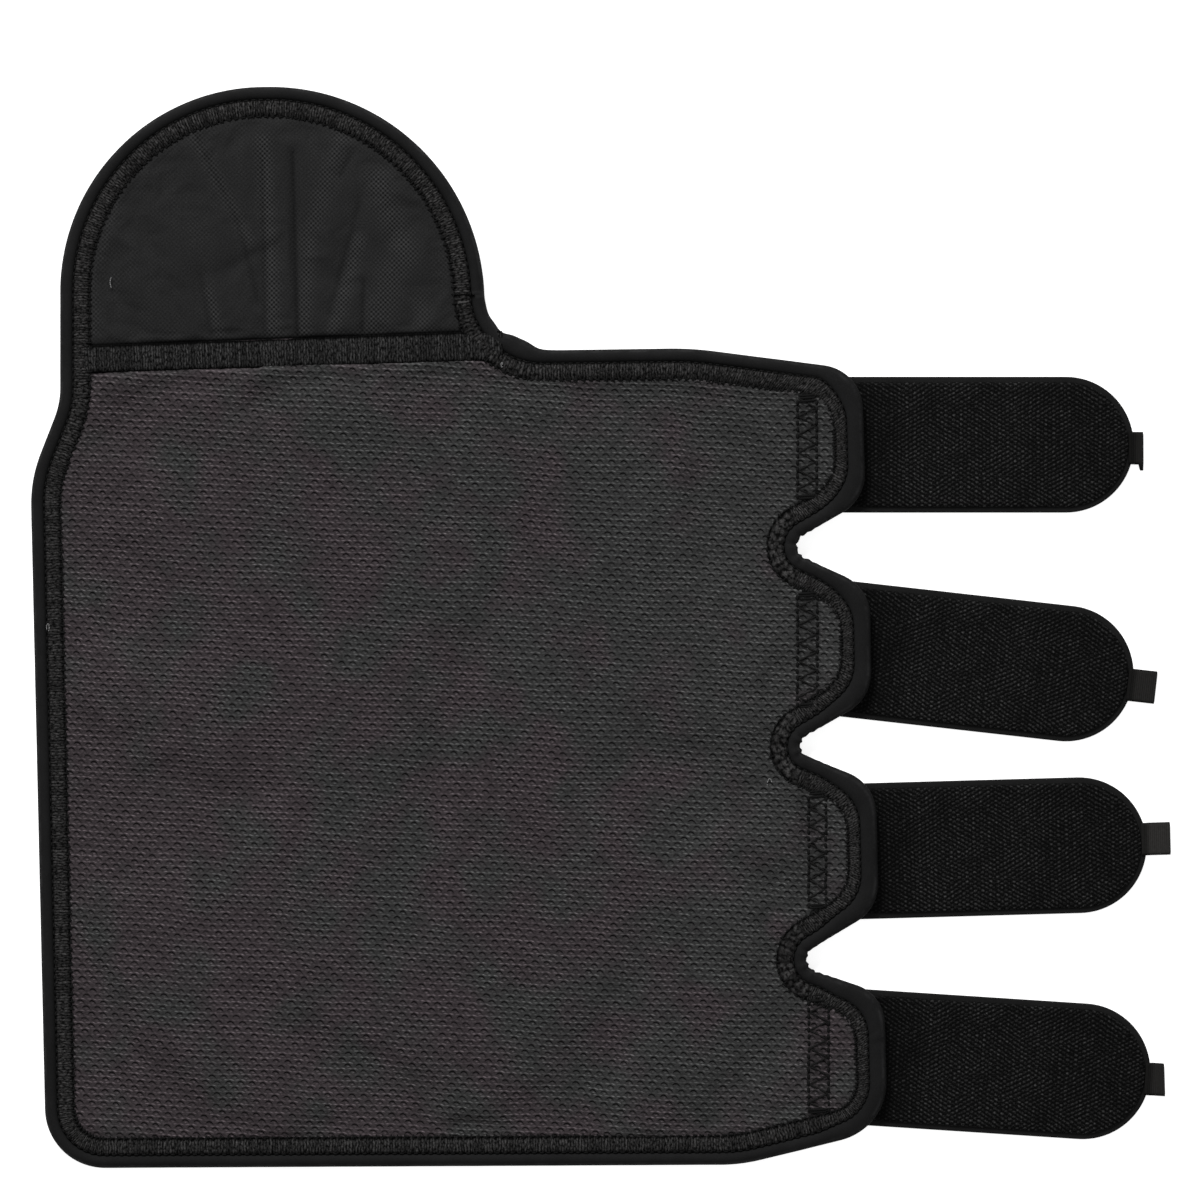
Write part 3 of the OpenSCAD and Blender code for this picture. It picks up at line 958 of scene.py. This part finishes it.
# the rolled edge in section, as (inset, height): over the roll, down the side, and back along the underside
roll = [(4.9, 6.35), (4.5, 6.95), (3.9, 7.45), (3.1, 7.72), (2.3, 7.78), (1.5, 7.55), (0.75, 7.0),
        (0.2, 6.0), (0.0, 4.8), (0.0, 3.4), (0.15, 2.2), (0.6, 1.2), (1.3, 0.5), (2.2, 0.12),
        (3.4, 0.0), (6.0, 0.0), (9.0, 0.0), (10.6, 0.05), (11.1, 0.25), (11.1, 0.55), (9.6, 0.62),
        (5.5, 1.4), (4.9, 3.5)]
v, f, st = band(main, roll, gather)
edge = weld(make_mesh("binding", v, f, st=st), CLOSE)
panel_pieces(edge, "rolled_edge", BINDING, "binding", by_section("binding"))
dome_pieces(edge, "dome_rolled_edge", BINDING, "binding", by_dome("dome_binding"))


def pucker(v, st):
    """Waves along both sides of the overlock, one to each stitch."""
    v = lay(v, st)
    s, d = st[..., 0] * math.tau / STITCH, st[..., 1]
    v[..., 2] += 0.07 * np.sin(s) * np.clip(1 - np.abs(d - 10.4) / 1.5, 0, 1)
    v[..., 2] += 0.06 * np.sin(s + 1) * np.clip(1 - np.abs(d - 5.1) / 1.2, 0, 1)
    return v


overlock = [(4.3, 6.3), (4.6, 6.75), (5.1, 6.95), (5.6, 7.42), (6.4, 7.72), (7.6, 7.82), (8.9, 7.74),
            (9.8, 7.5), (10.2, 7.15), (10.7, 7.2), (11.1, 7.15), (11.3, 6.85), (10.0, 6.3), (7.0, 6.1)]
v, f, st = band(Outline(OUTLINE, 0.68), overlock, pucker)
lock = weld(make_mesh("overlock", v, f, st=st), CLOSE)
panel_pieces(lock, "overlock", OVERLOCK, "binding")
dome_pieces(lock, "dome_overlock", OVERLOCK, "binding")

# -------- threads


def capsules(segments, radius, sides=6):
    """Short rounded threads, one for each pair of ends, a little bowed."""
    rows = ((0, 0.35), (0.18, 0.9), (0.5, 1.0), (0.82, 0.9), (1, 0.35))
    around = [math.tau * j / sides for j in range(sides)]
    verts, faces = [], []
    for a, b in segments:
        a, b = np.array(a, float), np.array(b, float)
        n = np.linalg.norm(b - a)
        d = (b - a) / n
        u = np.cross(d, (0, 0, 1.0))
        u /= np.linalg.norm(u)
        w = np.cross(u, d)
        faces += quads(len(rows), sides, len(verts)) + caps(len(rows), sides, len(verts))
        for t, k in rows:
            sag = -0.35 * radius * (2 * t - 1) ** 2
            middle = a + d * n * t
            verts += [middle + radius * k * (math.cos(q) * u + math.sin(q) * w) + w * sag for q in around]
    return np.array(verts), faces


def thread_mesh(name, *sets):
    """One mesh of threads. A set is the pairs of ends and the radius."""
    verts, faces = np.zeros((0, 3)), []
    for segments, radius in sets:
        v, f = capsules(segments, radius)
        faces += [tuple(i + len(verts) for i in q) for q in f]
        verts = np.concatenate([verts, v])
    return make_mesh(name, verts, faces, st=verts)


def along(s, line, a):
    """The point of a line at length a; s is the length at each of its points."""
    return np.array([np.interp(a, s, line[:, 0]), np.interp(a, s, line[:, 1])])


def stitch_row(outline, d, z, length=1.7):
    """Stitches that follow the outline at this inset, as pairs of ends."""
    p, inward = outline.ring(d), outline.inward()
    s = run(p)
    count = int(s[-1] / STITCH)
    out = []
    for i in range(count):
        a = i * s[-1] / count + random.uniform(-0.15, 0.15)
        start, end = along(s, p, a), along(s, p, a + length)
        move = along(s, inward, a) * broad(start[0], d)
        out.append([(*q, place_z(q[0], z)) for q in (start + move, end + move)])
    return out


def stitch_teeth(outline, *ends):
    """Short stitches across the edge, one to each pitch. ends are two pairs of inset and height."""
    s, inward = outline.s, outline.inward()
    rings = [outline.ring(d) for d, _ in ends]
    count = int(s[-1] / STITCH)
    out = []
    for i in range(count):
        a = i * s[-1] / count + random.uniform(-0.25, 0.25)
        pair = []
        for ring, (d, z) in zip(rings, ends):
            q = along(s, ring, a)
            q = q + along(s, inward, a) * broad(q[0], d)
            pair.append((*q, place_z(q[0], z)))
        out.append(pair)
    return out


rows = stitch_row(main, 5.05, 7.12) + stitch_row(main, 11.2, 7.30)
threads = thread_mesh("edge_thread", (rows, 0.36), (stitch_teeth(main, (9.9, 7.40), (12.1, 7.34)), 0.34))
panel_pieces(threads, "edge_stitching", THREAD, "thread")
dome_pieces(threads, "dome_stitching", THREAD, "thread")

# -------- seam tape between the dome and the panel


def tape_mesh():
    """A flat tube along the seam. It widens a little to the right, and its edges wander."""
    u0, u1 = L + 19 - SEAM[0], L + 173.5 - SEAM[0]
    us = np.arange(u0, u1 + 0.5, 1.0)
    across = [(0.3, 6.35), (0.3, 6.95), (-0.6, 7.3), (-2.2, 7.66), (-5.0, 7.78), (-8.0, 7.66), (-9.4, 7.3),
              (-9.95, 6.85), (-10.15, 6.35), (-5, 6.2)]
    v, st = [], []
    for u in us:
        for w, z in across:
            wider = 0.9 * (u - u0) / (u1 - u0) if w < -5 else 0
            wander = 0.14 * math.sin(u * 2.3) if w < -9 else 0.05 * math.sin(u * 1.9)
            p = SEAM + ALONG * u + UP * (w - wider + wander)
            v.append((p[0], p[1], z + 0.05 * math.sin(u * 1.7)))
            st.append((u, w, 0))
    f = quads(len(us), len(across)) + caps(len(us), len(across))
    return weld(make_mesh("seam_tape", v, f, st=st), CLOSE)


panel_pieces(tape_mesh(), "tape_cloth", TAPE, "tape", by_dome("seam_tape"), BESIDE_DOME)

# -------- loop panel on the hidden side

lo, hi = box("loop_panel")
panel = Outline([(lo[0], hi[1] - 24, 5), (lo[0] + 5, hi[1], 5), (hi[0], hi[1], 5), (hi[0], lo[1], 5),
                 (lo[0] + 3, lo[1], 5)], 2.5)
v, f, st = slab(panel, [(0.9, 0.95), (0.2, 0.8), (0.0, 0.45), (0.3, 0.1), (0.9, 0.0)], 5,
                flat(COVER_TOP), flat(0.0), lay)
pile = weld(make_mesh("loop_panel_pile", v, f, st=st))
bend(add("loop_panel_pile", pile, PILE, "loop", "loop_panel"), PANEL[1])
rows = [[(x, y, 0.04) for x, y, _ in ends] for ends in stitch_row(panel, 1.6, 0.0)]
me = thread_mesh("loop_panel_stitching", (rows, 0.22))
bend(add("loop_panel_stitching", me, THREAD, "thread"), PANEL[1])

# -------- loose thread ends and lint


def curl(x, y, size, start, sweep, steps=7):
    """A small curved thread that lies on the lining, as pairs of ends."""
    q = start + sweep * np.arange(steps + 1) / steps
    p = [(x + size * math.cos(a), y + 3.0 * size * math.sin(a)) for a in q]
    p = [(a, b, place_z(a, 7.95)) for a, b in p]
    return list(zip(p[:-1], p[1:]))


pair = curl(R - 43.5, B + 140.4, 0.9, 0.5, 2.6) + curl(R - 34.3, B + 129.6, 0.5, 1.0, 3.0)
for name, ends, hinge in (("lint_1", curl(L + 6.6, B + 198.4, 0.5, -1.2, 4.9), PANEL[1]),
                          ("lint_2", curl(L + 172.9, HIGH - 5.2, 0.3, 0.0, 5.6), PANEL[3]),
                          ("lint_3", pair, PANEL[5]),
                          ("lint_4", curl(L + 30.1, HIGH + 25.0, 0.7, 2.0, 2.4), DOME[1])):
    bend(add(name, thread_mesh(name, (ends, 0.18)), LINT, "thread"), hinge)

# -------- zigzag bars that hold the straps

rows, cross = [], []
for x0, w, y0, y1 in BARS:
    for y in np.arange(y0, y1 - 1.8, 2.45):
        for x in (x0, x0 + w):
            lean = random.uniform(-0.25, 0.25)
            top = on_top(x, y + 2.0, 0.1)
            rows.append((on_top(x, y, 0.1), (x + lean, *top[1:])))
    for y in (y0 + 0.2, y0 + 1.1, y1 - 2.3, y1 - 1.2, y1 - 0.3):
        end = on_top(x0 + w - 0.2, y, 0.2)
        rows.append((on_top(x0 + 0.2, y, 0.2), (end[0], y + 0.4, end[2])))
    a, b = x0 + w - 0.3, x0 + 0.3
    for y in np.arange(y0 + 0.6, y1 - 3.0, 3.3):
        for t in (0, 0.5):
            cross.append([on_top(a + (b - a) * q, y + 3.3 * q, 0.22) for q in (t, t + 0.5)])
        a, b = b, a
me = thread_mesh("anchor_rows", (rows, 0.56))
bend(add("anchor_rows", me, THREAD, "thread", "anchor_stitching"), PANEL[5])
me = thread_mesh("anchor_zigzag", (cross, 0.34))
bend(add("anchor_zigzag", me, ZIGZAG, "thread"), PANEL[5])

# -------- straps

# slope in the panel's plane and length; then the pull's reach past the tip, its shift and its grey
Strap = namedtuple("Strap", "slope length reach shift grey")
STRAPS = {1: Strap(0, 98.4, 3.7, -1.3, 0.0070), 2: Strap(-6.4, 96.5, 8.4, -1.5, 0.0098),
          3: Strap(1.6, 98.4, 8.6, 1.6, 0.0165), 4: Strap(-3.7, 96.8, 5.2, -1.2, 0.0105)}


def placed(n, v):
    """Points of a strap, given along it from its root, in the frame."""
    slope = math.radians(STRAPS[n].slope)
    c, s = math.cos(slope), math.sin(slope)
    v = np.array(v, float)
    v[:, :2] = v[:, :2] @ np.array([[c, s], [-s, c]]) + np.array(joints[f"strap_{n}"]["pos_m"])[:2] * 1000
    return v


def level(z, rough=0.0):
    return lambda x, y: z + rough * ripple(x, y, 9, 5)


def strap(n, name, inset, profile, top, bottom, mat, slot, node, *roots):
    """One layer of a strap, cut in two half way to the second bend."""
    tip = STRAPS[n].length
    root, middle = (joints[j]["pos_m"][0] * 1000 for j in (f"strap_{n}", f"strap_{n}_bend"))
    half = (root + middle) / 2
    far = min(middle + (middle - half) - 4, root + tip - 12)
    side, far_end = 25 - inset, tip - inset
    strip = Outline([(-27, side, 1.5), (far_end, side, side - 0.1), (far_end, -side, side - 0.1),
                     (-27, -side, 1.5)], 2.0)
    v, f, _ = slab(strip, profile, 3.4, top, bottom)
    me = weld(make_mesh(name, placed(n, v), f, st=v))
    ends = {"inner": (right_of(half), [f"{node}_{n}a", *roots], "section_6", root - 2, half - 3),
            "outer": (left_of(half), [f"{node}_{n}b"], f"strap_{n}_inner", half + 3, far)}
    for end, (plane, nodes, before, x0, x1) in ends.items():
        piece = cut(me, f"{name}_{n}_{end}", [plane])
        bend(add(f"{name}_{n}_{end}", piece, mat, slot, *nodes), (before, f"strap_{n}_{end}", x0, x1))


for n in STRAPS:
    strap(n, "strap_webbing", 0, [(0.7, 1.22), (0.25, 1.12), (0.0, 0.62), (0.25, 0.12), (0.7, 0.0)],
          level(1.22), level(0.0), WEBBING, "webbing", "webbing", "strap_roots")
    strap(n, "strap_hooks", 2.1, [(0.8, 2.16), (0.3, 2.05), (0.0, 1.75), (0.0, 1.26), (0.8, 1.24)],
          level(2.16, 0.03), level(1.24), HOOKS, "hook", "hooks")

# -------- ribbon pulls


def ribbon(n):
    """A folded loop of ribbon. The first and the last are turned on edge a little."""
    tip = STRAPS[n].length
    end = tip + STRAPS[n].reach
    turn = end - 0.6                       # where the ribbon turns back under itself
    path = [(tip - 2.0, 1.6), (tip - 0.9, 1.5), (tip + 0.6, 1.12)]
    for i in range(1, 6):
        path.append((tip + 0.6 + (turn - tip - 0.6) * i / 5, 0.92 + 0.04 * math.sin(i * 1.1 + n - 1)))
    for i in range(1, 7):
        q = math.pi / 2 - math.pi * i / 7
        path.append((turn + 0.6 * math.cos(q), 0.62 + 0.3 * math.sin(q)))
    for i in range(6):
        path.append((turn - (turn - tip - 0.3) * i / 5, 0.32))
    path = np.array(path)
    tan = np.gradient(path, axis=0)
    tan /= np.linalg.norm(tan, axis=1)[:, None]
    nor = np.stack([-tan[:, 1], tan[:, 0]], 1)
    # each point of the path gives a ring: over the upper face, and back along the lower one
    widths = np.linspace(-6, 6, 13)
    ring = [(w, 0.24) for w in widths] + [(w, -0.24) for w in widths[::-1]]
    v, st = [], []
    for p, normal, s in zip(path, nor, run(path)):
        for w, side in ring:
            q = p + normal * side * (1 - 0.5 * smooth(5.2, 6.0, abs(w)))
            v.append((q[0], w, q[1]))
            st.append((s, w, 0))
    v = np.array(v)
    past = smooth(tip - 0.5, end, v[:, 0])
    twist = math.radians({1: -2, 4: 2}.get(n, 1)) * past
    y, z = v[:, 1].copy(), v[:, 2] - 0.62
    v[:, 1] = y * np.cos(twist) - z * np.sin(twist)
    v[:, 2] = np.clip(0.62 + y * np.sin(twist) + z * np.cos(twist), 0.05, 1.9)
    if n == 1:
        v[:, 0] -= 0.3 * past
        v[:, 1] -= np.where(v[:, 0] > end - 1.7, 2.2, 0.0) * smooth(-5.3, -5.9, y)
    if n == 4:
        v[:, 0] -= 0.10 * y * past
    v[:, 1] += STRAPS[n].shift
    m = len(ring)
    f = quads(len(path), m)
    for base in (0, (len(path) - 1) * m):
        f += [(base + j, base + j + 1, base + m - 2 - j, base + m - 1 - j) for j in range(len(widths) - 1)]
    return weld(make_mesh(f"pull_tab_{n}", placed(n, v), f, st=st), CLOSE)


for n in STRAPS:
    cloth = ribbon_material(f"ribbon_{n}", STRAPS[n].grey)
    pull = add(f"pull_tab_{n}", ribbon(n), cloth, "ribbon", f"pull_{n}")
    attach(pull, f"strap_{n}_outer")

# -------- floor, light and camera

mid = (cad_lo + cad_hi) / 2
me = bpy.data.meshes.new("floor")
corners = [(mid.x + a * 6, mid.y + b * 6, -0.0004) for a, b in ((-1, -1), (1, -1), (1, 1), (-1, 1))]
me.from_pydata(corners, [], [(0, 1, 2, 3)])
floor = bpy.data.objects.new("floor", me)
scene.collection.objects.link(floor)
k = Mat("pale_floor", 0.9, 0.0)
k.body.inputs["Base Color"].default_value = (0.5, 0.5, 0.5, 1)
k.body.inputs["Emission Color"].default_value = (1, 1, 1, 1)
k.body.inputs["Emission Strength"].default_value = 0.8
# the floor is clear from below
links, nodes = k.tree.links, k.tree.nodes
either = nodes.new("ShaderNodeMixShader")
links.new(nodes.new("ShaderNodeNewGeometry").outputs["Backfacing"], either.inputs[0])
links.new(k.body.outputs[0], either.inputs[1])
links.new(nodes.new("ShaderNodeBsdfTransparent").outputs[0], either.inputs[2])
links.new(either.outputs[0], k.out.inputs[0])
me.materials.append(k.mat)

# the sky is white to the camera, and lights at half that strength
world = bpy.data.worlds.new("studio")
scene.world = world
world.use_nodes = True
sky = world.node_tree
seen = sky.nodes.new("ShaderNodeLightPath")
power = sky.nodes.new("ShaderNodeMapRange")
power.inputs["To Min"].default_value = 0.5
power.inputs["To Max"].default_value = 1.0
sky.links.new(seen.outputs["Is Camera Ray"], power.inputs["Value"])
sky.nodes["Background"].inputs[0].default_value = (1, 1, 1, 1)
sky.links.new(power.outputs[0], sky.nodes["Background"].inputs[1])


def area(name, place, size, watts):
    light = bpy.data.lights.new(name, "AREA")
    light.shape, light.size, light.energy = "SQUARE", size, watts
    ob = bpy.data.objects.new(name, light)
    ob.location = mid + Vector(place)
    ob.rotation_mode = "QUATERNION"
    ob.rotation_quaternion = (-Vector(place)).to_track_quat("-Z", "Y")
    scene.collection.objects.link(ob)


area("key", (-0.8, 2.4, 1.9), 1.1, 150)
area("fill", (0.5, -0.7, 1.6), 1.2, 4)

scene.view_settings.view_transform = "Standard"
scene.view_settings.look = "None"
cam = bpy.data.cameras.new("camera")
cam.type, cam.lens, cam.sensor_width, cam.clip_end = "PERSP", 135, 36, 20
wide = (cad_hi.x - cad_lo.x) * 1.05              # the picture is a little wider than the object
eye = bpy.data.objects.new("camera", cam)
eye.location = (mid.x - 0.0005, mid.y + 0.0101, TOP * MM + wide * cam.lens / cam.sensor_width)
scene.collection.objects.link(eye)
scene.camera = eye
